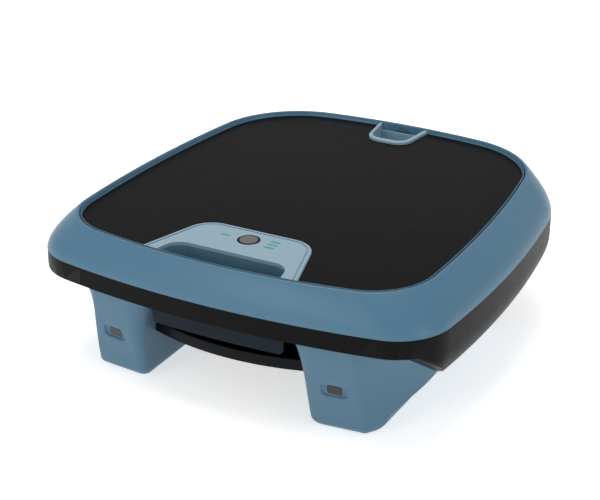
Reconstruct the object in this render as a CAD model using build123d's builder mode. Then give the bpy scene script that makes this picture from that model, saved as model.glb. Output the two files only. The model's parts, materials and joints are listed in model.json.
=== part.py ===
from build123d import *
import os
from math import cos, radians, sin, sqrt

# A solar-powered pool-surface skimmer: a floating hull on two keels, a blue top shell that frames a
# black solar panel, a mouth between the keels and a debris tray that pulls out at the back.
# Millimetres. +Z is up, the mouth faces -Y, and the origin is the middle of the footprint.

# ---- Plan outlines: bowed four-sided shapes, wider at the front -------------------------------------
# (front half width, back half width, front y, back y, front bow, side bow, back bow,
#  front corner radius, back corner radius)
CREST_PLAN = (161.7, 142.8, -159.4, 163.0, 21.9, 11.9, 17.3, 59.0, 86.7)
SPLIT_PLAN = (181.5, 165.0, -172.2, 175.3, 20.5, 16.2, 17.3, 50.0, 114.0)

# ---- Heights ----------------------------------------------------------------------------------------
CREST_Z = 134.0  # rim of the top shell
DECK_Z = 132.4  # console top
PANEL_Z = 130.6  # glass top
GLASS_T = 3.2
SHELF_Z = 126.4  # ledge that carries the glass
SHELF_T = 3.0
SPLIT_Z = 104.0  # parting line between shell and hull
STRIP_Z = 88.0  # underside of the hull's front strip
FACET_Z = 92.5  # where the strip's lower facet begins
FLOOR_Z = 45.0  # underside of the hull
ROOF_Z = 88.0  # ceiling of the tray tunnel

WALL = 3.0
BILGE = 40.0  # radius between the hull's sides and floor
FACET_IN = 8.0
FIT = 0.4  # gap round a piece that drops into a recess
REACH = 320.0  # longer than the whole machine, for cutting through

# ---- The raked bow, seen from the side --------------------------------------------------------------
RAKE_TOP = (-164.3, STRIP_Z)
RAKE_FOOT = (-105.2, FLOOR_Z)
RAKE_ANGLE = 36.0

# ---- Rim details ------------------------------------------------------------------------------------
CREST_ROUND = 1.6
GUTTER_FROM, GUTTER_TO = 2.4, 3.7
RECESS_IN = 4.7  # crest to the panel recess
SHELF_IN = 18.0  # crest to the shelf's inner edge

# ---- Tunnel and tray --------------------------------------------------------------------------------
TUNNEL_HALF = 65.0
TUNNEL_FRONT = RAKE_TOP[0]
RAIL_W, RAIL_T = 4.0, 1.7
TRAY_HALF = 64.2
TRAY_Z = 47.2
TRAY_TOP = 87.4
TRAY_FRONT = -103.0
TRAY_WALL = 2.4
COVER_T = 2.2

# ---- Thrusters --------------------------------------------------------------------------------------
DRIVE_X, DRIVE_Z = 104.0, 23.0
DUCT_R, DUCT_T = 22.0, 2.2
DUCT_FROM, DUCT_TO = 96.0, 124.0
PROP_R = 17.8
PROP_Y = 109.0
SHAFT_R = 2.5
SHAFT_FROM, SHAFT_TO = 50.0, 114.0
RUNNING_GAP = 0.05

SIDES = ((1, "right"), (-1, "left"))


def save(piece, label):
    """Name a finished piece and write its file."""
    piece.part.label = label
    export_step(piece.part, f"parts/{label}.step")


def parallel_bow(half_chord, bow, inset):
    """The bow of an arc moved in by inset, when its half chord shortens by as much."""
    radius = (half_chord**2 + bow**2) / (2 * bow) - inset
    return radius - sqrt(radius**2 - (half_chord - inset) ** 2)


def plan_sizes(blend, inset):
    """Blend the crest's plan towards the parting line's, then move every side in by inset."""
    front_half, back_half, front_y, back_y, front_bow, side_bow, back_bow, front_r, back_r = (
        crest + (split - crest) * blend for crest, split in zip(CREST_PLAN, SPLIT_PLAN)
    )
    new_front_bow = parallel_bow(front_half, front_bow, inset)
    new_back_bow = parallel_bow(back_half, back_bow, inset)
    new_side_bow = parallel_bow((back_y - front_y) / 2, side_bow, inset)
    side_in = inset - side_bow + new_side_bow
    return (
        front_half - side_in,
        back_half - side_in,
        front_y + inset - front_bow + new_front_bow,
        back_y - inset + back_bow - new_back_bow,
        new_front_bow,
        new_side_bow,
        new_back_bow,
        front_r - inset,
        back_r - inset,
    )


def draw_plan(z, blend, inset=0.0):
    """Sketch the plan at height z: blend 0 is the crest's outline, 1 is the parting line's."""
    sizes = plan_sizes(blend, inset)
    front_half, back_half, front_y, back_y, front_bow, side_bow, back_bow, front_r, back_r = sizes
    with BuildSketch(Plane.XY.offset(z)) as plan:
        with BuildLine():
            front_right, back_right = (front_half, front_y), (back_half, back_y)
            back_left, front_left = (-back_half, back_y), (-front_half, front_y)
            SagittaArc(front_left, front_right, -front_bow)
            SagittaArc(front_right, back_right, -side_bow)
            SagittaArc(back_right, back_left, -back_bow)
            SagittaArc(back_left, front_left, -side_bow)
        make_face()
        fillet(plan.vertices().group_by(Axis.Y)[0], front_r)
        fillet(plan.vertices().group_by(Axis.Y)[-1], back_r)
    return plan.sketch


def crest_block(z, height, inset):
    """A solid on the crest's outline, made apart from any other piece."""
    with BuildPart() as block:
        add(draw_plan(z, 0.0, inset))
        extrude(amount=height)
    return block.part


def hull_body(inset):
    """The hull's outer form moved in by inset: a tub with a round bilge and a raked bow."""
    floor = FLOOR_Z + inset
    lift = inset / cos(radians(RAKE_ANGLE))
    with BuildPart() as tub:
        add(draw_plan(floor, 1.0, inset))
        extrude(amount=SPLIT_Z - floor)
        fillet(tub.faces().sort_by(Axis.Z)[0].edges(), BILGE - inset)
        with BuildSketch(Plane.YZ):
            with BuildLine():
                Polyline(
                    (-REACH, RAKE_TOP[1] + lift),
                    (RAKE_TOP[0], RAKE_TOP[1] + lift),
                    (RAKE_FOOT[0], RAKE_FOOT[1] + lift),
                    (RAKE_FOOT[0], 0),
                    (-REACH, 0),
                    close=True,
                )
            make_face()
        extrude(amount=REACH, both=True, mode=Mode.SUBTRACT)
    return tub.part


def front_strip():
    """The black strip under the parting line, with a facet that leans in at its foot."""
    with BuildPart() as strip:
        add(draw_plan(STRIP_Z, 1.0, FACET_IN))
        add(draw_plan(FACET_Z, 1.0))
        loft()
        add(draw_plan(FACET_Z, 1.0))
        extrude(amount=SPLIT_Z - FACET_Z)
    return strip.part


def shell_blend(z):
    """How far the shell's side has flared at height z: upright at the foot, leaning in at the crest."""
    rise = (z - SPLIT_Z) / (CREST_Z - SPLIT_Z)
    return 1.0 - max(rise, 0.0) ** 1.5


os.makedirs("parts", exist_ok=True)

HULL_OUTER = hull_body(0.0)
HULL_INNER = hull_body(WALL)

# ---- Screw positions: long bosses join hull and shell -----------------------------------------------
BOSSES = [(side * x, y) for side, _ in SIDES for x, y in ((155, -70), (152, 20), (117, 131))]
BOSS_R, BORE_R, SCREW_R = 5.5, 3.5, 1.5
BOSS_STEP_Z = 96.0

# ---- Console and grip outlines ----------------------------------------------------------------------
CONSOLE_FRONT_HALF, CONSOLE_BACK_HALF = 77.0, 51.6
CONSOLE_FRONT_Y, CONSOLE_BACK_Y = -190.0, -102.4
CONSOLE_R = 24.0
WELL_FRONT_HALF, WELL_BACK_HALF = 61.0, 52.5
WELL_BACK_Y = -149.5
WELL_R = 15.0
WELL_FLOOR_Z = 106.0
CUP_WALL = 2.0
NOTCH_Y = 133.9
NOTCH_HALF, NOTCH_MOUTH_HALF = 20.5, 27.5
NOTCH_R = 15.0
NOTCH_LIP = 3.5
NOTCH_FLOOR_Z = 110.0
BUTTON_Y = -121.6


def draw_console(z, grow=0.0):
    """The console's outline: it narrows away from the rim and its far corners are round."""
    with BuildSketch(Plane.XY.offset(z)) as shape:
        with BuildLine():
            Polyline(
                (-CONSOLE_FRONT_HALF, CONSOLE_FRONT_Y),
                (CONSOLE_FRONT_HALF, CONSOLE_FRONT_Y),
                (CONSOLE_BACK_HALF, CONSOLE_BACK_Y),
                (-CONSOLE_BACK_HALF, CONSOLE_BACK_Y),
                close=True,
            )
        make_face()
        fillet(shape.vertices().group_by(Axis.Y)[-1], CONSOLE_R)
        if grow:
            offset(amount=grow)
    return shape.sketch


def draw_well(z, grow=0.0):
    """The front grip's outline, open towards the rim."""
    with BuildSketch(Plane.XY.offset(z)) as shape:
        with BuildLine():
            Polyline(
                (-WELL_FRONT_HALF, CONSOLE_FRONT_Y),
                (WELL_FRONT_HALF, CONSOLE_FRONT_Y),
                (WELL_BACK_HALF, WELL_BACK_Y),
                (-WELL_BACK_HALF, WELL_BACK_Y),
                close=True,
            )
        make_face()
        fillet(shape.vertices().group_by(Axis.Y)[-1], WELL_R)
        if grow:
            offset(amount=grow)
    return shape.sketch


def draw_notch(z, grow=0.0):
    """The rear grip's outline: a U that opens towards the back rim."""
    with BuildSketch(Plane.XY.offset(z)) as shape:
        with BuildLine():
            Polyline(
                (-NOTCH_HALF, NOTCH_Y),
                (NOTCH_HALF, NOTCH_Y),
                (NOTCH_MOUTH_HALF, 190.0),
                (-NOTCH_MOUTH_HALF, 190.0),
                close=True,
            )
        make_face()
        fillet(shape.vertices().group_by(Axis.Y)[0], NOTCH_R)
        if grow:
            offset(amount=grow)
    return shape.sketch


# ---- Top shell --------------------------------------------------------------------------------------
# where the shelf is cut away for the two grip cups
with BuildPart() as cup_room:
    add(draw_well(SHELF_Z - 2 * SHELF_T, CUP_WALL + FIT))
    add(draw_notch(SHELF_Z - 2 * SHELF_T, FIT))
    extrude(amount=3 * SHELF_T)
    add(crest_block(SHELF_Z - 3 * SHELF_T, 40, RECESS_IN), mode=Mode.INTERSECT)

with BuildPart() as top_shell:
    for level in (SPLIT_Z, 111.0, 118.0, 126.0, CREST_Z):
        add(draw_plan(level, shell_blend(level)))
    loft()
    fillet(top_shell.faces().sort_by(Axis.Z)[-1].edges(), CREST_ROUND)
    # the hollow under the shelf
    for level in (SPLIT_Z, 114.0, SHELF_Z - SHELF_T):
        add(draw_plan(level, shell_blend(level), WALL))
    loft(mode=Mode.SUBTRACT)
    # the shelf's opening, the panel recess and the gutter round it
    add(draw_plan(SPLIT_Z + WALL, 0.0, SHELF_IN))
    extrude(amount=CREST_Z, mode=Mode.SUBTRACT)
    add(draw_plan(SHELF_Z, 0.0, RECESS_IN))
    extrude(amount=CREST_Z, mode=Mode.SUBTRACT)
    with BuildSketch(Plane.XY.offset(PANEL_Z - 0.3)):
        add(draw_plan(0, 0.0, GUTTER_FROM))
        add(draw_plan(0, 0.0, GUTTER_TO), mode=Mode.SUBTRACT)
    extrude(amount=CREST_Z, mode=Mode.SUBTRACT)
    # bosses for the hull's screws
    with BuildSketch(Plane.XY.offset(SPLIT_Z)):
        with Locations(*BOSSES):
            Circle(BOSS_R - 1)
    extrude(amount=SHELF_Z - 1 - SPLIT_Z)
    with BuildSketch(Plane.XY.offset(SPLIT_Z)):
        with Locations(*BOSSES):
            Circle(SCREW_R)
    extrude(amount=14, mode=Mode.SUBTRACT)
    add(cup_room.part, mode=Mode.SUBTRACT)
save(top_shell, "top_shell")

# ---- Solar panel ------------------------------------------------------------------------------------
with BuildPart() as solar_glass:
    add(draw_plan(PANEL_Z - GLASS_T, 0.0, RECESS_IN + 0.2))
    extrude(amount=GLASS_T)
    add(draw_console(SHELF_Z, FIT))
    add(draw_notch(SHELF_Z, FIT))
    extrude(amount=PANEL_Z, mode=Mode.SUBTRACT)
save(solar_glass, "solar_glass")

with BuildPart() as cell_laminate:
    add(draw_plan(PANEL_Z - GLASS_T - 1.2, 0.0, SHELF_IN + 1.5))
    extrude(amount=1.2)
    add(draw_console(SHELF_Z - 5, 4.0))
    add(draw_notch(SHELF_Z - 5, 4.0))
    extrude(amount=PANEL_Z, mode=Mode.SUBTRACT)
save(cell_laminate, "cell_laminate")

with BuildPart() as panel_gasket:
    add(draw_plan(SHELF_Z, 0.0, RECESS_IN + 1.5))
    extrude(amount=PANEL_Z - GLASS_T - SHELF_Z)
    add(draw_plan(SHELF_Z, 0.0, SHELF_IN - 1.0))
    extrude(amount=GLASS_T, mode=Mode.SUBTRACT)
    add(draw_console(SHELF_Z, 2.0))
    add(draw_notch(SHELF_Z, 2.0))
    extrude(amount=GLASS_T, mode=Mode.SUBTRACT)
save(panel_gasket, "panel_gasket")

# ---- Console: deck, grip cup, button and lights -----------------------------------------------------
RIM_GAP = RECESS_IN + 0.2
DECK_T = 3.0
GROOVE_IN, GROOVE_W, GROOVE_D = 2.6, 1.6, 0.9
BEZEL_R, CAP_R, FLANGE_R = 9.7, 7.8, 8.8
CAP_TOP_Z = DECK_Z + 0.6
PRESS = 1.2
LIGHT_L, LIGHT_W = 8.4, 2.0
LIGHT_X = 22.0
LIGHT_STEP = 5.8
BAR_SPOTS = [(LIGHT_X, BUTTON_Y + row * LIGHT_STEP) for row in (-1, 0, 1)]
SINGLE_SPOT = (-LIGHT_X, BUTTON_Y)
BOARD_Z = 121.4
POSTS = [(side * 31.0, BUTTON_Y + end) for side, _ in SIDES for end in (-12.0, 12.0)]

with BuildPart() as console_deck:
    add(draw_console(SHELF_Z))
    extrude(amount=DECK_Z - SHELF_Z)
    fillet(console_deck.faces().sort_by(Axis.Z)[-1].edges(), 1.0)
    add(draw_console(SHELF_Z, -2.4))
    extrude(amount=DECK_Z - DECK_T - SHELF_Z, mode=Mode.SUBTRACT)
    # the groove that runs round the far edge and both sides
    with BuildSketch(Plane.XY.offset(DECK_Z - GROOVE_D)):
        add(draw_console(0, -GROOVE_IN))
        add(draw_console(0, -GROOVE_IN - GROOVE_W), mode=Mode.SUBTRACT)
    extrude(amount=WALL, mode=Mode.SUBTRACT)
    add(draw_well(SHELF_Z))
    extrude(amount=DECK_Z, mode=Mode.SUBTRACT)
    # board posts, button bore and light slots
    with BuildSketch(Plane.XY.offset(BOARD_Z + 1.6)):
        with Locations(*POSTS):
            Circle(2.2)
    extrude(amount=DECK_Z - DECK_T + 0.5 - BOARD_Z - 1.6)
    with BuildSketch(Plane.XY.offset(DECK_Z - DECK_T - 1)):
        with Locations((0, BUTTON_Y)):
            Circle(BEZEL_R)
        with Locations(SINGLE_SPOT, *BAR_SPOTS):
            Rectangle(LIGHT_L, LIGHT_W)
    extrude(amount=DECK_T + 4, mode=Mode.SUBTRACT)
    add(crest_block(SHELF_Z - 1, 20, RIM_GAP), mode=Mode.INTERSECT)
save(console_deck, "console_deck")

# the room that the fingers reach into
with BuildPart() as well_room:
    add(draw_well(WELL_FLOOR_Z))
    extrude(amount=40)
    add(crest_block(WELL_FLOOR_Z, 40, RIM_GAP + CUP_WALL), mode=Mode.INTERSECT)
    fillet(well_room.faces().sort_by(Axis.Z)[0].edges(), 4.0)

with BuildPart() as grip_cup:
    add(draw_well(WELL_FLOOR_Z - CUP_WALL, CUP_WALL))
    extrude(amount=DECK_Z - DECK_T - 0.1 - WELL_FLOOR_Z + CUP_WALL)
    add(crest_block(WELL_FLOOR_Z - 9, 60, RIM_GAP), mode=Mode.INTERSECT)
    add(well_room.part, mode=Mode.SUBTRACT)
save(grip_cup, "grip_cup")

with BuildPart() as button_bezel:
    with BuildSketch(Plane.XY.offset(DECK_Z - DECK_T)):
        with Locations((0, BUTTON_Y)):
            Circle(BEZEL_R)
            Circle(CAP_R + 0.2, mode=Mode.SUBTRACT)
    extrude(amount=DECK_T + 0.3)
    chamfer(button_bezel.faces().sort_by(Axis.Z)[-1].edges(), 0.4)
save(button_bezel, "button_bezel")

with BuildPart() as power_button:
    with BuildSketch(Plane.XY.offset(DECK_Z - DECK_T - 1.9)):
        with Locations((0, BUTTON_Y)):
            Circle(FLANGE_R)
    extrude(amount=1.6)
    with BuildSketch(Plane.XY.offset(DECK_Z - DECK_T - 1.9)):
        with Locations((0, BUTTON_Y)):
            Circle(CAP_R)
    extrude(amount=CAP_TOP_Z - DECK_Z + DECK_T + 1.9)
    fillet(power_button.faces().sort_by(Axis.Z)[-1].edges(), 0.6)
save(power_button, "power_button")

with BuildPart() as button_dome:
    with BuildSketch(Plane.XY.offset(BOARD_Z + 1.6)):
        with Locations((0, BUTTON_Y)):
            Circle(6.0)
    extrude(amount=DECK_Z - DECK_T - 1.9 - PRESS - 0.3 - BOARD_Z - 1.6)
    fillet(button_dome.faces().sort_by(Axis.Z)[-1].edges(), 1.0)
save(button_dome, "button_dome")

for spots, label in (([SINGLE_SPOT], "status_light"), (BAR_SPOTS, "charge_lights")):
    with BuildPart() as light:
        with BuildSketch(Plane.XY.offset(BOARD_Z + 1.8)):
            with Locations(*spots):
                Rectangle(LIGHT_L, LIGHT_W)
        extrude(amount=DECK_Z + 0.15 - BOARD_Z - 1.8)
    save(light, label)

with BuildPart() as console_board:
    with BuildSketch(Plane.XY.offset(BOARD_Z)):
        with Locations((0, BUTTON_Y)):
            Rectangle(68, 30)
    extrude(amount=1.6)
save(console_board, "console_board")

# ---- Rear grip: a cup whose raised lip runs round the U ---------------------------------------------
with BuildPart() as notch_room:
    add(draw_notch(NOTCH_FLOOR_Z, -NOTCH_LIP))
    extrude(amount=SHELF_Z - NOTCH_FLOOR_Z)
    add(crest_block(NOTCH_FLOOR_Z, 40, RIM_GAP + CUP_WALL), mode=Mode.INTERSECT)
    fillet(notch_room.faces().sort_by(Axis.Z)[0].edges(), 4.0)
    add(draw_notch(SHELF_Z, -NOTCH_LIP))
    extrude(amount=20)

with BuildPart() as rear_grip:
    add(draw_notch(SHELF_Z + 0.2))
    extrude(amount=CREST_Z - 0.6 - SHELF_Z - 0.2)
    fillet(rear_grip.faces().sort_by(Axis.Z)[-1].edges(), 1.5)
    add(draw_notch(NOTCH_FLOOR_Z - CUP_WALL, -NOTCH_LIP + CUP_WALL))
    extrude(amount=SHELF_Z + 1 - NOTCH_FLOOR_Z + CUP_WALL)
    add(crest_block(NOTCH_FLOOR_Z - 9, 60, RIM_GAP), mode=Mode.INTERSECT)
    add(notch_room.part, mode=Mode.SUBTRACT)
save(rear_grip, "rear_grip")

# ---- Lower hull and what joins it to the shell ------------------------------------------------------
SLOT_HALF = TUNNEL_HALF + WALL
# the charging port looks out of the hull's back left corner
PORT_TURN = radians(18.0)
PORT_PLANE = Plane(
    origin=(-106.8, 183.6, 90.0),
    x_dir=(-cos(PORT_TURN), -sin(PORT_TURN), 0),
    z_dir=(-sin(PORT_TURN), cos(PORT_TURN), 0),
)
POCKET_W, POCKET_H, POCKET_D = 26.0, 14.0, 4.0
PORT_PAD_T = 9.0
PORT_R = 5.0

KEEL_SCREWS = [(side * x, y) for side, _ in SIDES for x, y in ((100, -62), (132, -20), (132, 44))]

# posts that reach up from the floor to the shell
with BuildPart() as hull_posts:
    with BuildSketch(Plane.XY.offset(FLOOR_Z)):
        with Locations(*BOSSES):
            Circle(BOSS_R)
    extrude(amount=SPLIT_Z - FLOOR_Z)
    add(HULL_OUTER, mode=Mode.INTERSECT)

with BuildPart() as port_pad:
    with BuildSketch(PORT_PLANE):
        Rectangle(POCKET_W + 8, POCKET_H + 4)
    extrude(amount=PORT_PAD_T, both=True)
    add(HULL_OUTER, mode=Mode.INTERSECT)

with BuildPart() as lower_hull:
    add(HULL_OUTER)
    add(front_strip())
    add(HULL_INNER, mode=Mode.SUBTRACT)
    # the slot that the tray tunnel drops into, through the floor and the back wall
    with BuildSketch(Plane.YZ):
        with BuildLine():
            Polyline(
                (TUNNEL_FRONT, ROOF_Z),
                (TUNNEL_FRONT + WALL, ROOF_Z + WALL),
                (REACH, ROOF_Z + WALL),
                (REACH, 0),
                (TUNNEL_FRONT, 0),
                close=True,
            )
        make_face()
    extrude(amount=SLOT_HALF, both=True, mode=Mode.SUBTRACT)
    add(hull_posts.part)
    with BuildSketch(Plane.XY):
        with Locations(*BOSSES):
            Circle(BORE_R)
    extrude(amount=BOSS_STEP_Z, mode=Mode.SUBTRACT)
    with BuildSketch(Plane.XY):
        with Locations(*BOSSES):
            Circle(SCREW_R + 0.2)
    extrude(amount=SPLIT_Z + 1, mode=Mode.SUBTRACT)
    # the charging port: a pocket for the cap and a bore
    add(port_pad.part)
    with BuildSketch(PORT_PLANE.offset(-POCKET_D)):
        RectangleRounded(POCKET_W, POCKET_H, 4)
    extrude(amount=3 * POCKET_D, mode=Mode.SUBTRACT)
    with BuildSketch(PORT_PLANE.offset(-2 * PORT_PAD_T)):
        Circle(PORT_R)
    extrude(amount=3 * PORT_PAD_T, mode=Mode.SUBTRACT)
    # holes for the screws that hold the keels
    with BuildSketch(Plane.XY.offset(FLOOR_Z)):
        with Locations(*KEEL_SCREWS):
            Circle(SCREW_R + 0.2)
    extrude(amount=2 * WALL, mode=Mode.SUBTRACT)
save(lower_hull, "lower_hull")

with BuildPart() as hull_seal:
    add(draw_plan(SPLIT_Z - 4.0, 1.0, WALL + 0.1))
    extrude(amount=4.0)
    add(draw_plan(SPLIT_Z - 4.0, 1.0, WALL + 2.2))
    extrude(amount=5.0, mode=Mode.SUBTRACT)
    add(hull_posts.part, mode=Mode.SUBTRACT)
save(hull_seal, "hull_seal")

with BuildPart() as shell_screws:
    with BuildSketch(Plane.XY.offset(BOSS_STEP_Z - 2.4)):
        with Locations(*BOSSES):
            Circle(3.0)
    extrude(amount=2.4)
    with BuildSketch(Plane.XY.offset(BOSS_STEP_Z - 2.4)):
        with Locations(*BOSSES):
            RegularPolygon(1.4, 6)
    extrude(amount=1.4, mode=Mode.SUBTRACT)
    with BuildSketch(Plane.XY.offset(BOSS_STEP_Z)):
        with Locations(*BOSSES):
            Circle(SCREW_R)
    extrude(amount=18)
save(shell_screws, "shell_screws")

# ---- Tray tunnel: an upturned U with two rails ------------------------------------------------------
with BuildPart() as tray_tunnel:
    with BuildSketch(Plane.XZ):
        with BuildLine():
            Polyline(
                (-SLOT_HALF, FLOOR_Z),
                (-SLOT_HALF, ROOF_Z + WALL),
                (SLOT_HALF, ROOF_Z + WALL),
                (SLOT_HALF, FLOOR_Z),
                (TUNNEL_HALF - RAIL_W, FLOOR_Z),
                (TUNNEL_HALF - RAIL_W, FLOOR_Z + RAIL_T),
                (TUNNEL_HALF, FLOOR_Z + RAIL_T),
                (TUNNEL_HALF, ROOF_Z),
                (-TUNNEL_HALF, ROOF_Z),
                (-TUNNEL_HALF, FLOOR_Z + RAIL_T),
                (-TUNNEL_HALF + RAIL_W, FLOOR_Z + RAIL_T),
                (-TUNNEL_HALF + RAIL_W, FLOOR_Z),
                close=True,
            )
        make_face()
    extrude(amount=REACH, both=True)
    add(HULL_OUTER, mode=Mode.INTERSECT)
    add(lower_hull.part, mode=Mode.SUBTRACT)
save(tray_tunnel, "tray_tunnel")

# ---- Keels ------------------------------------------------------------------------------------------
KEEL_FOOT = 0.8  # the pads stand this much lower
# height, inner x, front y at the inner edge, front corner x and y, inner corner radius
KEEL_LEVELS = (
    (KEEL_FOOT, 78.3, -162.0, 127.0, -158.0, 6.0),
    (20.0, 77.7, -168.0, 126.0, -163.0, 7.0),
    (45.0, 76.5, -174.2, 124.0, -168.0, 9.0),
    (66.0, 72.5, -178.4, 122.5, -171.8, 13.0),
    (STRIP_Z, 62.0, -181.5, 121.0, -175.0, 18.0),
)
KEEL_ROUND = 9.0


def keel_side(z):
    """The outer face's x at height z, upright where the hull hides it."""
    return min(131.0 + 0.7 * z, 166.0)


def keel_flare(z):
    """How far back the side runs for each millimetre that it flares: less towards the hull."""
    return 1.48 - 0.017 * max(z - FLOOR_Z, 0.0)


def keel_back(z):
    """The back face's y at height z."""
    return 62.0 + 0.35 * z


def draw_keel(z, inner_x, front_y, corner_x, corner_y, inner_r, inset):
    """One level of the right-hand keel: square inside, flared outside."""
    side_x = keel_side(z) - inset
    corner_x, corner_y = corner_x - inset * 0.6, corner_y + inset
    with BuildSketch(Plane.XY.offset(z)) as shape:
        with BuildLine():
            inner_front = (inner_x + inset, front_y + inset)
            outer_front = (corner_x, corner_y)
            flare_end = (side_x, corner_y + keel_flare(z) * (side_x - corner_x))
            outer_back = (side_x, keel_back(z) - inset)
            inner_back = (inner_x + inset, keel_back(z) - inset)
            Polyline(inner_front, outer_front, flare_end, outer_back, inner_back, close=True)
        make_face()
        corners = shape.vertices().sort_by(Axis.Y)
        fillet(corners[0], inner_r)
        fillet(corners[1], 4.0)
        fillet(corners[2], 4.0)
        fillet(corners[3:], 10.0)
    return shape.sketch


def keel_sizes(z):
    """The keel's measures at height z, in line between the two levels round it."""
    for low, high in zip(KEEL_LEVELS, KEEL_LEVELS[1:]):
        if z <= high[0]:
            share = (z - low[0]) / (high[0] - low[0])
            return [below + (above - below) * share for below, above in zip(low[1:], high[1:])]
    return KEEL_LEVELS[-1][1:]


def keel_form(inset, foot, top, edge):
    """Loft the keel from foot to top, with its bottom edge rounded by edge."""
    with BuildPart() as form:
        for turn in (0.0, 30.0, 60.0, 90.0):
            z = foot + edge * (1 - cos(radians(turn)))
            add(draw_keel(z, *keel_sizes(z), inset + edge * (1 - sin(radians(turn)))))
        loft()
        for share in (0.0, 0.25, 0.5, 0.75, 1.0):
            z = foot + edge + (top - foot - edge) * share
            add(draw_keel(z, *keel_sizes(z), inset))
        loft()
    return form.part


SENSOR_PLANE = Plane(origin=(104.0, -169.6, 43.5), x_dir=(1, 0.13, 0), z_dir=(0.128, -0.97, -0.19))
RECESS_W, RECESS_H, RECESS_D = 22.0, 12.0, 1.2
WINDOW_W, WINDOW_H = 13.0, 8.6
PIN_Y, PIN_Z, PIN_R, PIN_HALF = -174.3, 85.0, 1.5, 73.0
SEAL_R, SEAL_L = 4.5, 7.0
PAD_W, PAD_T, PAD_FROM, PAD_TO = 26.0, 2.4, -138.0, 40.0
PAD_X = 104.0
KEEL_BOSS_Z = 32.0

keel_block = keel_form(0.0, KEEL_FOOT, STRIP_Z, KEEL_ROUND)

with BuildPart() as keel_room:
    add(keel_form(WALL, KEEL_FOOT + WALL, STRIP_Z - WALL, KEEL_ROUND - WALL))
    add(hull_body(-WALL), mode=Mode.SUBTRACT)

with BuildPart() as keel_right:
    add(keel_block)
    add(HULL_OUTER, mode=Mode.SUBTRACT)
    add(keel_room.part, mode=Mode.SUBTRACT)
    # bosses for the screws that come down from the hull
    with BuildSketch(Plane.XY.offset(KEEL_BOSS_Z)):
        with Locations(*[spot for spot in KEEL_SCREWS if spot[0] > 0]):
            Circle(4.0)
    extrude(amount=FLOOR_Z - KEEL_BOSS_Z)
    with BuildSketch(Plane.XY.offset(KEEL_BOSS_Z + 1)):
        with Locations(*[spot for spot in KEEL_SCREWS if spot[0] > 0]):
            Circle(SCREW_R)
    extrude(amount=FLOOR_Z, mode=Mode.SUBTRACT)
    # sensor recess and window
    with BuildSketch(SENSOR_PLANE.offset(-RECESS_D)):
        RectangleRounded(RECESS_W, RECESS_H, 4)
    extrude(amount=12, mode=Mode.SUBTRACT)
    with BuildSketch(SENSOR_PLANE):
        RectangleRounded(WINDOW_W, WINDOW_H, 2.4)
    extrude(amount=-8, mode=Mode.SUBTRACT)
    # flap pin, shaft seal and pad
    with BuildSketch(Plane.YZ):
        with Locations((PIN_Y, PIN_Z)):
            Circle(PIN_R)
    extrude(amount=PIN_HALF + 1, mode=Mode.SUBTRACT)
    with BuildSketch(Plane.XZ.offset(-50)):
        with Locations((DRIVE_X, DRIVE_Z)):
            Circle(SEAL_R)
    extrude(amount=-40, mode=Mode.SUBTRACT)
    with BuildSketch(Plane.XY):
        with Locations((PAD_X, (PAD_FROM + PAD_TO) / 2)):
            RectangleRounded(PAD_W, PAD_TO - PAD_FROM, 8)
    extrude(amount=PAD_T, mode=Mode.SUBTRACT)
save(keel_right, "keel_right")

with BuildPart() as keel_left:
    mirror(keel_right.part, about=Plane.YZ)
save(keel_left, "keel_left")

with BuildPart() as keel_screws:
    with BuildSketch(Plane.XY.offset(FLOOR_Z + WALL)):
        with Locations(*KEEL_SCREWS):
            Circle(3.0)
    extrude(amount=2.2)
    with BuildSketch(Plane.XY.offset(FLOOR_Z + WALL + 0.8)):
        with Locations(*KEEL_SCREWS):
            RegularPolygon(1.4, 6)
    extrude(amount=2.0, mode=Mode.SUBTRACT)
    with BuildSketch(Plane.XY.offset(FLOOR_Z + WALL)):
        with Locations(*KEEL_SCREWS):
            Circle(SCREW_R)
    extrude(amount=-14)
save(keel_screws, "keel_screws")

for side, name in SIDES:
    with BuildPart() as pad:
        with BuildSketch(Plane.XY):
            with Locations((side * PAD_X, (PAD_FROM + PAD_TO) / 2)):
                RectangleRounded(PAD_W - 0.4, PAD_TO - PAD_FROM - 0.4, 7.8)
        extrude(amount=PAD_T)
        chamfer(pad.faces().sort_by(Axis.Z)[0].edges(), 0.4)
    save(pad, f"keel_pad_{name}")

    # ballast bar on the keel's floor
    with BuildPart() as ballast:
        with BuildSketch(Plane.XY.offset(PAD_T + WALL + 0.2)):
            with Locations((side * PAD_X, -70.0)):
                RectangleRounded(30, 110, 3)
        extrude(amount=7)
    save(ballast, f"ballast_{name}")

# ---- Sensors in the keel fronts ---------------------------------------------------------------------
with BuildPart() as window:
    with BuildSketch(SENSOR_PLANE.offset(-RECESS_D + 0.2)):
        RectangleRounded(WINDOW_W - 0.1, WINDOW_H - 0.1, 2.35)
    extrude(amount=-3.0)
    fillet(window.faces().sort_by(Axis.Y)[0].edges(), 0.4)

with BuildPart() as transducer:
    with BuildSketch(SENSOR_PLANE.offset(-RECESS_D - 2.9)):
        Circle(4.2)
    extrude(amount=-9)
    with BuildSketch(SENSOR_PLANE.offset(-RECESS_D - 6.0)):
        Circle(5.2)
    extrude(amount=-2)

for piece, label in ((window, "sensor_window"), (transducer, "sensor")):
    save(piece, f"{label}_right")
    with BuildPart() as twin:
        mirror(piece.part, about=Plane.YZ)
    save(twin, f"{label}_left")

# ---- Mouth: lintel, flap and scoop ------------------------------------------------------------------
LINTEL_Z = 82.8
LINTEL_IN, LINTEL_T = 9.6, 4.0
FLAP_HALF, FLAP_FOOT_Z = 61.4, 67.0
FLAP_IN, FLAP_T = 15.2, 2.2
BARREL_R = 2.8
SCOOP_FOOT_Z, SCOOP_LIP_Z = 43.0, 53.0
SCOOP_HALF, SCOOP_SIDE_Y, SCOOP_TIP_Y = 79.0, -148.0, -162.4
SCOOP_BACK_Y = -106.0

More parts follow.
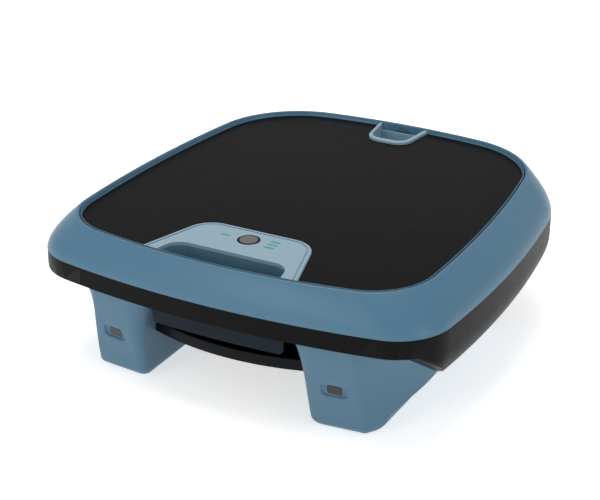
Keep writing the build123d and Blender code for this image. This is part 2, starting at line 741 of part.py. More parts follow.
with BuildPart() as intake_lintel:
    add(draw_plan(LINTEL_Z, 1.0, LINTEL_IN))
    extrude(amount=STRIP_Z - LINTEL_Z)
    add(draw_plan(LINTEL_Z, 1.0, LINTEL_IN + LINTEL_T))
    extrude(amount=STRIP_Z, mode=Mode.SUBTRACT)
    with BuildSketch(Plane.XY.offset(LINTEL_Z)):
        with Locations((0, -REACH / 2)):
            Rectangle(2 * TUNNEL_HALF + 10, REACH)
    extrude(amount=STRIP_Z, mode=Mode.INTERSECT)
    add(keel_block, mode=Mode.SUBTRACT)
    mirror(keel_block, about=Plane.YZ, mode=Mode.SUBTRACT)
save(intake_lintel, "intake_lintel")

with BuildPart() as flap_pin:
    with BuildSketch(Plane.YZ):
        with Locations((PIN_Y, PIN_Z)):
            Circle(PIN_R)
    extrude(amount=PIN_HALF, both=True)
save(flap_pin, "flap_pin")

with BuildPart() as intake_flap:
    add(draw_plan(FLAP_FOOT_Z, 1.0, FLAP_IN))
    extrude(amount=PIN_Z - FLAP_FOOT_Z)
    add(draw_plan(FLAP_FOOT_Z, 1.0, FLAP_IN + FLAP_T))
    extrude(amount=STRIP_Z, mode=Mode.SUBTRACT)
    with BuildSketch(Plane.XZ):
        with Locations((0, (FLAP_FOOT_Z + PIN_Z) / 2)):
            RectangleRounded(2 * FLAP_HALF, PIN_Z - FLAP_FOOT_Z, 5)
    extrude(amount=REACH, mode=Mode.INTERSECT)
    with BuildSketch(Plane.YZ):
        with Locations((PIN_Y, PIN_Z)):
            Circle(BARREL_R)
    extrude(amount=FLAP_HALF - 6, both=True)
    with BuildSketch(Plane.YZ):
        with Locations((PIN_Y, PIN_Z)):
            Circle(PIN_R + 0.08)
    extrude(amount=FLAP_HALF + 1, both=True, mode=Mode.SUBTRACT)
save(intake_flap, "intake_flap")

with BuildPart() as intake_scoop:
    with BuildSketch(Plane.XY.offset(FLOOR_Z)):
        with BuildLine():
            ThreePointArc((-SCOOP_HALF, SCOOP_SIDE_Y), (0, SCOOP_TIP_Y), (SCOOP_HALF, SCOOP_SIDE_Y))
            Polyline(
                (SCOOP_HALF, SCOOP_SIDE_Y),
                (SCOOP_HALF, SCOOP_BACK_Y),
                (-SCOOP_HALF, SCOOP_BACK_Y),
                (-SCOOP_HALF, SCOOP_SIDE_Y),
            )
        make_face()
    extrude(amount=2.6)
    with BuildSketch(Plane.XY.offset(SCOOP_FOOT_Z)):
        with BuildLine():
            ThreePointArc((-SCOOP_HALF, SCOOP_SIDE_Y), (0, SCOOP_TIP_Y), (SCOOP_HALF, SCOOP_SIDE_Y))
            Line((SCOOP_HALF, SCOOP_SIDE_Y), (SCOOP_HALF, SCOOP_SIDE_Y + 4))
            ThreePointArc(
                (SCOOP_HALF, SCOOP_SIDE_Y + 4), (0, SCOOP_TIP_Y + 4), (-SCOOP_HALF, SCOOP_SIDE_Y + 4)
            )
            Line((-SCOOP_HALF, SCOOP_SIDE_Y + 4), (-SCOOP_HALF, SCOOP_SIDE_Y))
        make_face()
    extrude(amount=SCOOP_LIP_Z - SCOOP_FOOT_Z)
    fillet(intake_scoop.faces().sort_by(Axis.Z)[-1].edges(), 1.4)
    add(keel_block, mode=Mode.SUBTRACT)
    mirror(keel_block, about=Plane.YZ, mode=Mode.SUBTRACT)
    add(HULL_OUTER, mode=Mode.SUBTRACT)
save(intake_scoop, "intake_scoop")

# ---- Debris tray ------------------------------------------------------------------------------------
BAYS, BAY, BAY_MIDDLE = 4, 56.0, 14.0
WINDOW_L = 44.0
FLOOR_WINDOW_W, FLOOR_WINDOW_X = 50.0, 29.0
SIDE_WINDOW_H, SIDE_WINDOW_Z = 22.0, 69.0
MESH_T, MESH_IN = 0.6, 0.9
PULL_W, PULL_T, PULL_Z, PULL_END = 52.0, 3.5, 54.0, 192.4

with BuildPart() as tray_room:
    with BuildSketch(Plane.XY.offset(TRAY_Z)):
        with Locations((0, (TRAY_FRONT + REACH) / 2)):
            Rectangle(2 * TRAY_HALF, REACH - TRAY_FRONT)
    extrude(amount=TRAY_TOP - TRAY_Z)

with BuildPart() as tray_hollow:
    with BuildSketch(Plane.XY.offset(TRAY_Z + TRAY_WALL)):
        Rectangle(2 * (TRAY_HALF - TRAY_WALL), 2 * REACH)
    extrude(amount=TRAY_TOP)
    add(hull_body(COVER_T + TRAY_WALL), mode=Mode.INTERSECT)

with BuildPart() as debris_tray:
    add(hull_body(COVER_T))
    add(tray_room.part, mode=Mode.INTERSECT)
    add(tray_hollow.part, mode=Mode.SUBTRACT)
    # windows in the floor and both sides, with ribs between them
    with BuildSketch(Plane.XY.offset(TRAY_Z)):
        with Locations((0, BAY_MIDDLE)):
            with GridLocations(2 * FLOOR_WINDOW_X, BAY, 2, BAYS):
                RectangleRounded(FLOOR_WINDOW_W, WINDOW_L, 4)
    extrude(amount=TRAY_WALL, mode=Mode.SUBTRACT)
    # the two side frames are pieces of their own
    with BuildSketch(Plane.XZ):
        with GridLocations(2 * TRAY_HALF - TRAY_WALL, 1, 2, 1):
            Rectangle(TRAY_WALL, 2 * REACH)
    extrude(amount=REACH, both=True, mode=Mode.SUBTRACT)
save(debris_tray, "debris_tray")

for side, name in SIDES:
    with BuildPart() as side_frame:
        with BuildSketch(Plane.YZ.offset(side * (TRAY_HALF - TRAY_WALL))):
            with Locations(((TRAY_FRONT + REACH) / 2, (TRAY_Z + TRAY_TOP) / 2)):
                Rectangle(REACH - TRAY_FRONT, TRAY_TOP - TRAY_Z)
        extrude(amount=side * TRAY_WALL)
        add(hull_body(COVER_T), mode=Mode.INTERSECT)
        with BuildSketch(Plane.YZ):
            with Locations((BAY_MIDDLE, SIDE_WINDOW_Z)):
                with GridLocations(BAY, 1, BAYS, 1):
                    RectangleRounded(WINDOW_L, SIDE_WINDOW_H, 4)
        extrude(amount=TRAY_HALF + 1, both=True, mode=Mode.SUBTRACT)
    save(side_frame, f"tray_side_{name}")

with BuildPart() as tray_mesh_floor:
    with BuildSketch(Plane.XY.offset(TRAY_Z + MESH_IN)):
        with Locations((0, BAY_MIDDLE)):
            with GridLocations(2 * FLOOR_WINDOW_X, BAY, 2, BAYS):
                RectangleRounded(FLOOR_WINDOW_W, WINDOW_L, 4)
    extrude(amount=MESH_T)
save(tray_mesh_floor, "tray_mesh_floor")

for side, name in SIDES:
    with BuildPart() as tray_mesh:
        with BuildSketch(Plane.YZ.offset(side * (TRAY_HALF - MESH_IN))):
            with Locations((BAY_MIDDLE, SIDE_WINDOW_Z)):
                with GridLocations(BAY, 1, BAYS, 1):
                    RectangleRounded(WINDOW_L, SIDE_WINDOW_H, 4)
        extrude(amount=-side * MESH_T)
    save(tray_mesh, f"tray_mesh_{name}")

with BuildPart() as tray_cover:
    add(HULL_OUTER)
    add(tray_room.part, mode=Mode.INTERSECT)
    add(hull_body(COVER_T), mode=Mode.SUBTRACT)
save(tray_cover, "tray_cover")

with BuildPart() as tray_pull:
    with BuildSketch(Plane.XY.offset(PULL_Z)):
        with Locations((0, PULL_END - PULL_W / 2)):
            RectangleRounded(PULL_W, PULL_W, 6)
    extrude(amount=PULL_T)
    fillet(tray_pull.faces().sort_by(Axis.Z)[-1].edges(), 1.2)
    add(HULL_OUTER, mode=Mode.SUBTRACT)
save(tray_pull, "tray_pull")

# ---- Thrusters --------------------------------------------------------------------------------------
MOTOR_R, MOTOR_FROM, MOTOR_TO = 11.0, 22.0, 58.0
HUB_R, HUB_FROM, HUB_TO = 6.5, 102.0, 116.0
SPIDER_R, SPIDER_T = 5.5, 4.0
ARM_W = 3.0
FOOT_W = 26.0
BLADE_T = 1.4
# blade radius, chord and pitch angle
BLADE_LEVELS = ((4.0, 10.0, 52.0), (11.0, 13.0, 38.0), (PROP_R, 11.0, 27.0))

for side, name in SIDES:
    with BuildPart() as motor:
        with BuildSketch(Plane.XZ.offset(-MOTOR_TO)):
            with Locations((side * DRIVE_X, DRIVE_Z)):
                Circle(MOTOR_R)
        extrude(amount=MOTOR_TO - MOTOR_FROM)
        fillet(motor.edges().filter_by(GeomType.CIRCLE), 1.2)
        with BuildSketch(Plane.XZ.offset(-MOTOR_TO - 2)):
            with Locations((side * DRIVE_X, DRIVE_Z)):
                Circle(2 * SHAFT_R)
        extrude(amount=4)
        with BuildSketch(Plane.XZ.offset(-SHAFT_FROM + 0.4)):
            with Locations((side * DRIVE_X, DRIVE_Z)):
                Circle(SHAFT_R + RUNNING_GAP)
        extrude(amount=-20, mode=Mode.SUBTRACT)
    save(motor, f"motor_{name}")

    with BuildPart() as shaft:
        with BuildSketch(Plane.XZ.offset(-SHAFT_TO)):
            with Locations((side * DRIVE_X, DRIVE_Z)):
                Circle(SHAFT_R)
        extrude(amount=SHAFT_TO - SHAFT_FROM)
    save(shaft, f"shaft_{name}")

    with BuildPart() as shaft_seal:
        with BuildSketch(Plane.XZ.offset(-keel_back(DRIVE_Z) - 2)):
            with Locations((side * DRIVE_X, DRIVE_Z)):
                Circle(SEAL_R)
                Circle(SHAFT_R + RUNNING_GAP, mode=Mode.SUBTRACT)
        extrude(amount=SEAL_L)
    save(shaft_seal, f"shaft_seal_{name}")

    with BuildPart() as blade:
        for radius, chord, pitch in BLADE_LEVELS:
            lean = radians(pitch)
            level = Plane(
                origin=(side * DRIVE_X, PROP_Y, DRIVE_Z + radius),
                x_dir=(cos(lean), side * sin(lean), 0),
                z_dir=(0, 0, 1),
            )
            with BuildSketch(level):
                Rectangle(chord, BLADE_T)
        loft()

    with BuildPart() as propeller:
        with BuildSketch(Plane.XZ.offset(-HUB_TO)):
            with Locations((side * DRIVE_X, DRIVE_Z)):
                Circle(HUB_R)
        extrude(amount=HUB_TO - HUB_FROM)
        fillet(propeller.faces().sort_by(Axis.Y)[-1].edges(), 4.0)
        spin_axis = Axis((side * DRIVE_X, 0, DRIVE_Z), (0, 1, 0))
        for turn in (0, 120, 240):
            add(blade.part.rotate(spin_axis, turn))
        add(shaft.part, mode=Mode.SUBTRACT)
    save(propeller, f"propeller_{name}")

    with BuildPart() as duct:
        with BuildSketch(Plane.XZ.offset(-DUCT_TO)):
            with Locations((side * DRIVE_X, DRIVE_Z)):
                Circle(DUCT_R)
            with Locations((side * DRIVE_X, FLOOR_Z - 6)):
                Rectangle(FOOT_W, 12)
            with Locations((side * DRIVE_X, DRIVE_Z)):
                Circle(DUCT_R - DUCT_T, mode=Mode.SUBTRACT)
        extrude(amount=DUCT_TO - DUCT_FROM)
        # a spider in front that carries the shaft, and a guard behind
        for back_y in (DUCT_FROM + SPIDER_T, DUCT_TO):
            with BuildSketch(Plane.XZ.offset(-back_y)):
                with Locations((side * DRIVE_X, DRIVE_Z)):
                    Circle(SPIDER_R)
                    with PolarLocations((DUCT_R - DUCT_T / 2) / 2, 3, start_angle=30):
                        Rectangle(DUCT_R - DUCT_T / 2, ARM_W)
            extrude(amount=SPIDER_T)
        with BuildSketch(Plane.XZ.offset(-DUCT_FROM - SPIDER_T - 1)):
            with Locations((side * DRIVE_X, DRIVE_Z)):
                Circle(SHAFT_R + RUNNING_GAP)
        extrude(amount=SPIDER_T + 2, mode=Mode.SUBTRACT)
    save(duct, f"duct_{name}")

# ---- Inside the hull: battery on the right, electronics on the left, foam along the sides -----------
CASE_W, CASE_X = 70.0, 108.0
CASE_FRONT, CASE_L = -96.0, 120.0
CASE_Z, CASE_H, CASE_WALL = 50.6, 21.4, 2.0
LID_T = 2.4
CELL_R, CELL_L, CELL_PITCH, CELLS = 9.2, 65.0, 18.8, 6
FOAM_IN, FOAM_OUT, FOAM_HALF_L, FOAM_FOOT_Z, FOAM_TOP_Z = 163.0, 185.0, 52.0, 62.0, 99.0
BOARD_FOOT_Z = CASE_Z + 6.0

for side, case_label, lid_label in ((1, "battery_case", "battery_lid"), (-1, "control_box", "control_lid")):
    middle = (side * CASE_X, CASE_FRONT + CASE_L / 2)
    with BuildPart() as case:
        with BuildSketch(Plane.XY.offset(CASE_Z)):
            with Locations(middle):
                RectangleRounded(CASE_W, CASE_L, 5)
        extrude(amount=CASE_H)
        with BuildSketch(Plane.XY.offset(CASE_Z + CASE_WALL)):
            with Locations(middle):
                RectangleRounded(CASE_W - 2 * CASE_WALL, CASE_L - 2 * CASE_WALL, 3)
        extrude(amount=CASE_H, mode=Mode.SUBTRACT)
        # four short feet keep it off the hull's floor
        with BuildSketch(Plane.XY.offset(FLOOR_Z + WALL)):
            with Locations(middle):
                with GridLocations(CASE_W - 14, CASE_L - 14, 2, 2):
                    Circle(4)
        extrude(amount=CASE_Z - FLOOR_Z - WALL)
        if side < 0:
            with BuildSketch(Plane.XY.offset(CASE_Z + CASE_WALL)):
                with Locations(middle):
                    with GridLocations(CASE_W - 20, CASE_L - 20, 2, 2):
                        Circle(2.5)
            extrude(amount=BOARD_FOOT_Z - CASE_Z - CASE_WALL)
    save(case, case_label)

    with BuildPart() as lid:
        with BuildSketch(Plane.XY.offset(CASE_Z + CASE_H)):
            with Locations(middle):
                RectangleRounded(CASE_W, CASE_L, 5)
        extrude(amount=LID_T)
        fillet(lid.faces().sort_by(Axis.Z)[-1].edges(), 0.8)
    save(lid, lid_label)

with BuildPart() as battery_cells:
    with BuildSketch(Plane.YZ.offset(CASE_X - CELL_L / 2)):
        with Locations((CASE_FRONT + CASE_L / 2, CASE_Z + CASE_WALL + CELL_R)):
            with GridLocations(CELL_PITCH, 1, CELLS, 1):
                Circle(CELL_R)
    extrude(amount=CELL_L)
save(battery_cells, "battery_cells")

with BuildPart() as main_board:
    with BuildSketch(Plane.XY.offset(BOARD_FOOT_Z)):
        with Locations((-CASE_X, CASE_FRONT + CASE_L / 2)):
            RectangleRounded(CASE_W - 8, CASE_L - 8, 2)
    extrude(amount=1.6)
    with BuildSketch(Plane.XY.offset(BOARD_FOOT_Z + 1.6)):
        for chip_x, chip_y, chip_w, chip_l in ((0, 12, 16, 16), (-18, -22, 12, 20), (18, -22, 12, 20)):
            with Locations((-CASE_X + chip_x, CASE_FRONT + CASE_L / 2 + chip_y)):
                Rectangle(chip_w, chip_l)
    extrude(amount=2.4)
save(main_board, "main_board")

for side, name in SIDES:
    with BuildPart() as foam:
        with BuildSketch(Plane.XY.offset(FOAM_FOOT_Z)):
            with Locations((side * (FOAM_IN + FOAM_OUT) / 2, -25)):
                Rectangle(FOAM_OUT - FOAM_IN, 2 * FOAM_HALF_L)
        extrude(amount=FOAM_TOP_Z - FOAM_FOOT_Z)
        add(hull_body(WALL + 1.0), mode=Mode.INTERSECT)
    save(foam, f"foam_float_{name}")

# ---- Charging port and its rubber cap ---------------------------------------------------------------
CAP_IN, CAP_T = 0.9, 3.0
CAP_GAP = 0.4
SLEEVE_R, SLEEVE_L = 3.1, 12.0

with BuildPart() as charge_port:
    with BuildSketch(PORT_PLANE.offset(-POCKET_D - SLEEVE_L)):
        Circle(PORT_R)
    extrude(amount=SLEEVE_L)
    with BuildSketch(PORT_PLANE.offset(-PORT_PAD_T - 2)):
        Circle(PORT_R + 2)
    extrude(amount=2)
    with BuildSketch(PORT_PLANE.offset(-POCKET_D - SLEEVE_L + 1.5)):
        Circle(SLEEVE_R)
    extrude(amount=SLEEVE_L, mode=Mode.SUBTRACT)
    with BuildSketch(PORT_PLANE.offset(-POCKET_D - SLEEVE_L + 1)):
        Circle(1.0)
    extrude(amount=SLEEVE_L - 3)
save(charge_port, "charge_port")

with BuildPart() as charge_cap:
    with BuildSketch(PORT_PLANE.offset(-CAP_IN)):
        RectangleRounded(POCKET_W - 2 * CAP_GAP, POCKET_H - 2 * CAP_GAP, 3.6)
    extrude(amount=-CAP_T)
    with BuildSketch(PORT_PLANE.offset(-CAP_IN)):
        with Locations((0, -3.5)):
            RectangleRounded(9, 2, 0.9)
    extrude(amount=0.8)
save(charge_cap, "charge_cap")
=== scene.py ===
# %% [markdown]
# # A solar-powered pool skimmer
# A floating robot that skims leaves off a pool. A blue shell frames a black solar panel, two keels
# carry it, a flap hangs in the mouth between them, and a debris tray slides out at the back.
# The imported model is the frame: every size and place below is read from it.

# %% Load the frame
import json
from math import cos, radians, sin

import bpy
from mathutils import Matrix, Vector


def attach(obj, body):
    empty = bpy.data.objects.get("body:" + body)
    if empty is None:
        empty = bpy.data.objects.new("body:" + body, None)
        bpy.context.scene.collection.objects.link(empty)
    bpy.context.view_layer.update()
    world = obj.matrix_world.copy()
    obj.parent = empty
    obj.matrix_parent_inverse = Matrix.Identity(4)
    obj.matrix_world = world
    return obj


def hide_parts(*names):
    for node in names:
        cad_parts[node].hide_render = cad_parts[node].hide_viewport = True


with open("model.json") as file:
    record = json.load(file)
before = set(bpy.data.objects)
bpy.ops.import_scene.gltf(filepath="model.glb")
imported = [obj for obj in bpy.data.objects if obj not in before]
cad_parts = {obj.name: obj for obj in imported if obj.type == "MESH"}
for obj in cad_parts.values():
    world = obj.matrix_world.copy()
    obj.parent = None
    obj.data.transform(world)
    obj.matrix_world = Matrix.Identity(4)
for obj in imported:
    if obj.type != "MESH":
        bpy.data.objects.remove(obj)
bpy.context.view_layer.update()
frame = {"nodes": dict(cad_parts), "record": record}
nodes = frame["nodes"]
bpy.ops.object.select_all(action="DESELECT")
MM = 0.001
print("loaded", len(nodes), "nodes")

# %% [markdown]
# ## Moulded plastic
# Most of the machine is injection-moulded plastic. Its colour is never quite even, its surface has a
# fine grain, and handling leaves it a little more polished in patches. One node group gives all three
# from noise in object space, and each material sets how strong they are.


# %% The shared group for moulded surfaces
def add_node(tree, kind, **inputs):
    """Add a node and set some of its inputs by name."""
    node = tree.nodes.new(kind)
    for name, value in inputs.items():
        node.inputs[name].default_value = value
    return node


def make_moulded_group():
    """Build the group that varies colour, roughness and height over a moulded surface."""
    group = bpy.data.node_groups.new("Moulded surface", "ShaderNodeTree")
    sockets = (
        ("Colour", "INPUT", "NodeSocketColor"),
        ("Mottle", "INPUT", "NodeSocketFloat"),
        ("Roughness", "INPUT", "NodeSocketFloat"),
        ("Polish", "INPUT", "NodeSocketFloat"),
        ("Grain size", "INPUT", "NodeSocketFloat"),
        ("Colour", "OUTPUT", "NodeSocketColor"),
        ("Roughness", "OUTPUT", "NodeSocketFloat"),
        ("Height", "OUTPUT", "NodeSocketFloat"),
    )
    for name, way, kind in sockets:
        group.interface.new_socket(name=name, in_out=way, socket_type=kind)
    given = group.nodes.new("NodeGroupInput")
    result = group.nodes.new("NodeGroupOutput")
    place = group.nodes.new("ShaderNodeTexCoord")
    cloud = add_node(group, "ShaderNodeTexNoise", Scale=22.0, Detail=4.0)
    smudge = add_node(group, "ShaderNodeTexNoise", Scale=60.0, Detail=6.0)
    grain = add_node(group, "ShaderNodeTexNoise", Detail=2.0)
    for texture in (cloud, smudge, grain):
        group.links.new(place.outputs["Object"], texture.inputs["Vector"])
    group.links.new(given.outputs["Grain size"], grain.inputs["Scale"])
    # colour times 1 plus or minus the mottle
    swing = add_node(group, "ShaderNodeMath")
    swing.operation = "SUBTRACT"
    swing.inputs[1].default_value = 0.5
    group.links.new(cloud.outputs["Fac"], swing.inputs[0])
    amount = add_node(group, "ShaderNodeMath")
    amount.operation = "MULTIPLY_ADD"
    amount.inputs[2].default_value = 1.0
    group.links.new(swing.outputs[0], amount.inputs[0])
    group.links.new(given.outputs["Mottle"], amount.inputs[1])
    tint = group.nodes.new("ShaderNodeVectorMath")
    tint.operation = "SCALE"
    group.links.new(given.outputs["Colour"], tint.inputs[0])
    group.links.new(amount.outputs[0], tint.inputs["Scale"])
    group.links.new(tint.outputs[0], result.inputs["Colour"])
    # roughness plus or minus the polish
    patch = add_node(group, "ShaderNodeMath")
    patch.operation = "SUBTRACT"
    patch.inputs[1].default_value = 0.5
    group.links.new(smudge.outputs["Fac"], patch.inputs[0])
    rough = add_node(group, "ShaderNodeMath")
    rough.operation = "MULTIPLY_ADD"
    group.links.new(patch.outputs[0], rough.inputs[0])
    group.links.new(given.outputs["Polish"], rough.inputs[1])
    group.links.new(given.outputs["Roughness"], rough.inputs[2])
    group.links.new(rough.outputs[0], result.inputs["Roughness"])
    group.links.new(grain.outputs["Fac"], result.inputs["Height"])
    return group


moulded_group = make_moulded_group()
GRAIN_HEIGHT = 0.0001
STRENGTH_PER_DEPTH = 10


def moulded(
    name, colour, roughness, mottle=0.15, polish=0.12, grain_size=1800.0, depth=0.03, gloss=0.5
):
    """A plastic, rubber or metal with the shared group in front of its shader."""
    material = bpy.data.materials.new(name)
    material.use_nodes = True
    tree = material.node_tree
    shader = tree.nodes["Principled BSDF"]
    shader.inputs["Specular IOR Level"].default_value = gloss
    surface = tree.nodes.new("ShaderNodeGroup")
    surface.node_tree = moulded_group
    surface.inputs["Colour"].default_value = (*colour, 1.0)
    surface.inputs["Mottle"].default_value = mottle
    surface.inputs["Roughness"].default_value = roughness
    surface.inputs["Polish"].default_value = polish
    surface.inputs["Grain size"].default_value = grain_size
    bump = tree.nodes.new("ShaderNodeBump")
    bump.inputs["Strength"].default_value = depth * STRENGTH_PER_DEPTH
    bump.inputs["Distance"].default_value = GRAIN_HEIGHT
    tree.links.new(surface.outputs["Colour"], shader.inputs["Base Color"])
    tree.links.new(surface.outputs["Roughness"], shader.inputs["Roughness"])
    tree.links.new(surface.outputs["Height"], bump.inputs["Height"])
    tree.links.new(bump.outputs["Normal"], shader.inputs["Normal"])
    return material


# %% [markdown]
# ## The finishes
# The shell, console and keels are satin blue-grey plastic. The console's paler colour is painted top
# light on that same plastic. The hull band is black with very little gloss, the flap's blue plastic
# is made near-black navy as painted shade, and the panel is black glass over dark cells.

# %% Plain finishes
SHELL_BLUE = (0.068, 0.162, 0.243)
blue = moulded("shell blue", SHELL_BLUE, 0.36, mottle=0.05, polish=0.06, gloss=0.28)
# painted top light: the console is the shell's plastic, given a paler colour to stand in for the
# light on its top face
console_top_lit_blue = moulded("console blue with painted top light", (0.245, 0.350, 0.430), 0.40, mottle=0.05, gloss=0.35)
cup_blue = moulded("grip cup blue", (0.090, 0.185, 0.250), 0.5, mottle=0.06, gloss=0.25)
keel_blue = moulded("keel blue", (0.072, 0.155, 0.226), 0.46, mottle=0.07, gloss=0.25)
hull_black = moulded("hull black", (0.0045, 0.0045, 0.005), 0.40, mottle=0.2, polish=0.1, gloss=0.055)
# painted shade: the flap is blue plastic, darkened to near-black navy to stand in for the shade
# inside the mouth
navy = moulded("flap navy with painted shade", (0.005, 0.011, 0.018), 0.4, gloss=0.10)
black = moulded("black plastic", (0.0030, 0.0038, 0.0055), 0.42, gloss=0.10)
rubber = moulded("rubber", (0.018, 0.018, 0.019), 0.75, mottle=0.3, grain_size=900.0, depth=0.08)
button_grey = moulded("button face", (0.110, 0.100, 0.098), 0.4, mottle=0.1)
lens = moulded("sensor window", (0.006, 0.007, 0.010), 0.12, polish=0.04, depth=0.0)
steel = moulded("steel", (0.55, 0.55, 0.56), 0.32, mottle=0.1, grain_size=600.0)
steel.node_tree.nodes["Principled BSDF"].inputs["Metallic"].default_value = 1.0
green_board = moulded("solder mask", (0.015, 0.11, 0.05), 0.35)
cell_wrap = moulded("cell wrap", (0.03, 0.17, 0.32), 0.3)
foam = moulded("closed-cell foam", (0.70, 0.70, 0.67), 0.9, grain_size=500.0, depth=0.2)
dark_mesh = moulded("filter mesh", (0.02, 0.022, 0.025), 0.6)
teal = moulded("light pipe", (0.030, 0.215, 0.180), 0.3, mottle=0.02)
glow = teal.node_tree.nodes["Principled BSDF"].inputs
glow["Emission Color"].default_value = (0.03, 0.3, 0.25, 1)
glow["Emission Strength"].default_value = 0.15


# %% The solar panel: cells in a grid under smooth glass
CELL_WIDTH, CELL_HEIGHT, CELL_GAP = 0.052, 0.026, 0.0004


def make_panel():
    """Black glass whose cells show as a faint grid."""
    glass = (0.0060, 0.0060, 0.0065)
    material = moulded("solar glass", glass, 0.30, mottle=0.15, polish=0.05, depth=0.0)
    tree = material.node_tree
    shader = tree.nodes["Principled BSDF"]
    surface = next(node for node in tree.nodes if node.type == "GROUP")
    place = tree.nodes.new("ShaderNodeTexCoord")
    cells = add_node(tree, "ShaderNodeTexBrick", Scale=1.0)
    cells.offset = 0.0
    cells.inputs["Color1"].default_value = (1.0, 1.0, 1.0, 1.0)
    cells.inputs["Color2"].default_value = (0.90, 0.90, 0.94, 1.0)
    cells.inputs["Mortar"].default_value = (1.5, 1.5, 1.5, 1.0)
    cells.inputs["Mortar Size"].default_value = CELL_GAP
    cells.inputs["Brick Width"].default_value = CELL_WIDTH
    cells.inputs["Row Height"].default_value = CELL_HEIGHT
    mix = tree.nodes.new("ShaderNodeMix")
    mix.data_type = "RGBA"
    mix.blend_type = "MULTIPLY"
    mix.inputs["Factor"].default_value = 1.0
    tree.links.new(place.outputs["Object"], cells.inputs["Vector"])
    tree.links.new(surface.outputs["Colour"], mix.inputs["A"])
    tree.links.new(cells.outputs["Color"], mix.inputs["B"])
    tree.links.new(mix.outputs["Result"], shader.inputs["Base Color"])
    shader.inputs["Specular IOR Level"].default_value = 0.03
    return material


panel = make_panel()

FINISHES = {
    "shell_blue": blue,
    "panel_glass": panel,
    "cells": panel,
    "console_grey": console_top_lit_blue,
    "cup_blue": cup_blue,
    "hull_black": hull_black,
    "keel_grey": keel_blue,
    "navy": navy,
    "black_plastic": black,
    "rubber": rubber,
    "button_grey": button_grey,
    "light_teal": teal,
    "board_green": green_board,
    "lens_dark": lens,
    "steel": steel,
    "cell_wrap": cell_wrap,
    "foam": foam,
    "mesh": dark_mesh,
}
slot_of = {part["node"]: part["material_slot"] for part in frame["record"]["subparts"]}
for name, piece in nodes.items():
    piece.data.materials.clear()
    piece.data.materials.append(FINISHES[slot_of[name]])
print("finished", len(nodes), "nodes with", len(FINISHES), "materials")

# %% [markdown]
# ## Softened edges
# A moulded edge is never sharp: the tool's radius catches the light as a thin bright line. Each
# visible moulding is copied and its loose triangles are merged, so that it shades smoothly. A Bevel
# modifier then rounds its edges. A width of 0 leaves a piece's edges as the frame has them.


# %% Copies with rounded edges
MERGE_WITHIN = 0.01 * MM
SMOOTH_UNDER = 32.0  # degrees: a sharper edge than this stays an edge


def body_of(node):
    """The body that a node rides on."""
    for body, members in frame["record"]["behaviour"]["bodies"].items():
        if node in members:
            return body
    raise ValueError(node)


def soften(node, width, angle=SMOOTH_UNDER):
    """Replace a node by a merged, smooth copy whose edges are rounded by width, if it isn't 0."""
    copy = nodes[node].copy()
    copy.data = nodes[node].data.copy()
    copy.name = f"{node}_moulding"
    copy.parent = None
    for key in list(copy.keys()):
        del copy[key]
    bpy.context.scene.collection.objects.link(copy)
    bpy.ops.object.select_all(action="DESELECT")
    copy.select_set(True)
    bpy.context.view_layer.objects.active = copy
    bpy.ops.object.mode_set(mode="EDIT")
    bpy.ops.mesh.select_all(action="SELECT")
    bpy.ops.mesh.remove_doubles(threshold=MERGE_WITHIN)
    bpy.ops.object.mode_set(mode="OBJECT")
    if width:
        bevel = copy.modifiers.new("edge", "BEVEL")
        bevel.width = width
        bevel.segments = 2
        bevel.limit_method = "ANGLE"
        bevel.angle_limit = radians(angle)
        bpy.ops.object.modifier_apply(modifier=bevel.name)
    bpy.ops.object.shade_smooth_by_angle(angle=radians(angle))
    weighted = copy.modifiers.new("flat faces first", "WEIGHTED_NORMAL")
    weighted.keep_sharp = True
    bpy.ops.object.modifier_apply(modifier=weighted.name)
    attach(copy, body_of(node))
    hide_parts(node)
    return copy


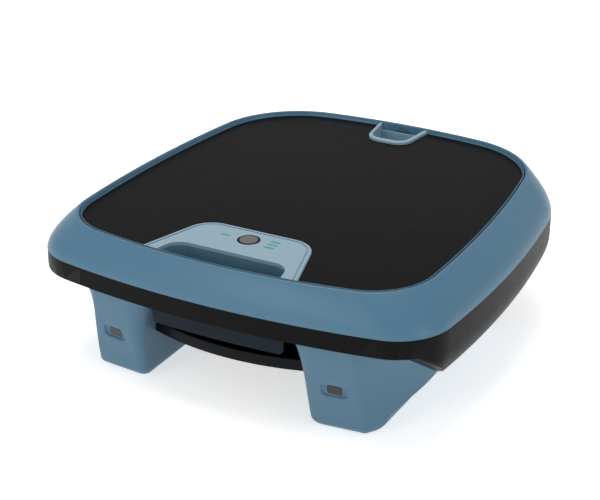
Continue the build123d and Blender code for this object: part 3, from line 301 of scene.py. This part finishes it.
# the width of each moulding's rounded edge, in millimetres
EDGES = {
    "top_shell": 0.0,
    "console_deck": 0.3,
    "grip_cup": 0.3,
    "rear_grip": 0.4,
    "lower_hull": 0.0,
    "keel_right": 0.0,
    "keel_left": 0.0,
    "intake_scoop": 0.0,
    "intake_flap": 0.3,
    "intake_lintel": 0.3,
    "solar_glass": 0.3,
    "tray_cover": 0.0,
    "duct_right": 0.2,
    "duct_left": 0.2,
}
for node, width in EDGES.items():
    piece = soften(node, width * MM)
    print(piece.name, len(piece.data.polygons), "faces")

# %% [markdown]
# ## Floor, light and camera
# The machine stands on a plain pale floor. A wide softbox overhead makes the shell's top edge glow,
# one in front and one on the right fill the keels and the band, and the world adds an even white.

# %% Floor
bpy.ops.mesh.primitive_plane_add(size=12.0, location=(0, 0, 0))
floor = bpy.context.active_object
floor.name = "studio_floor"
pale = bpy.data.materials.new("pale floor")
pale.use_nodes = True
matt = pale.node_tree.nodes["Principled BSDF"].inputs
matt["Base Color"].default_value = (0.86, 0.86, 0.86, 1)
matt["Roughness"].default_value = 0.9
matt["Emission Color"].default_value = (1, 1, 1, 1)
matt["Emission Strength"].default_value = 0.60
floor.data.materials.append(pale)


# %% Lights
def softbox(name, place, size, power, aim=(0, 0, 0.08)):
    """A square area light that looks at the machine."""
    bpy.ops.object.light_add(type="AREA", location=place)
    lamp = bpy.context.active_object
    lamp.name = name
    lamp.data.size = size
    lamp.data.energy = power
    lamp.rotation_euler = (Vector(aim) - Vector(place)).to_track_quat("-Z", "Y").to_euler()


softbox("overhead", (-0.15, 0.0, 1.5), 1.1, 13.0)
softbox("front_fill", (-0.5, -1.9, 0.8), 0.8, 7.0)
softbox("right_fill", (1.9, -0.5, 0.7), 0.7, 5.0)
world = bpy.data.worlds.new("studio")
bpy.context.scene.world = world
world.use_nodes = True
world.node_tree.nodes["Background"].inputs["Color"].default_value = (1, 1, 1, 1)
world.node_tree.nodes["Background"].inputs["Strength"].default_value = 0.50

# %% Camera
TURN, LIFT, DISTANCE = radians(28.44), radians(24.87), 1.41593
TARGET = Vector((-0.00785, -0.01935, 0.0799))
back = Vector((sin(TURN) * cos(LIFT), -cos(TURN) * cos(LIFT), sin(LIFT)))
bpy.ops.object.camera_add(location=TARGET + DISTANCE * back)
camera = bpy.context.active_object
camera.rotation_euler = (-back).to_track_quat("-Z", "Y").to_euler()
camera.data.sensor_width, camera.data.lens = 36.0, 96.29
bpy.context.scene.camera = camera
bpy.context.scene.view_settings.view_transform = "Standard"
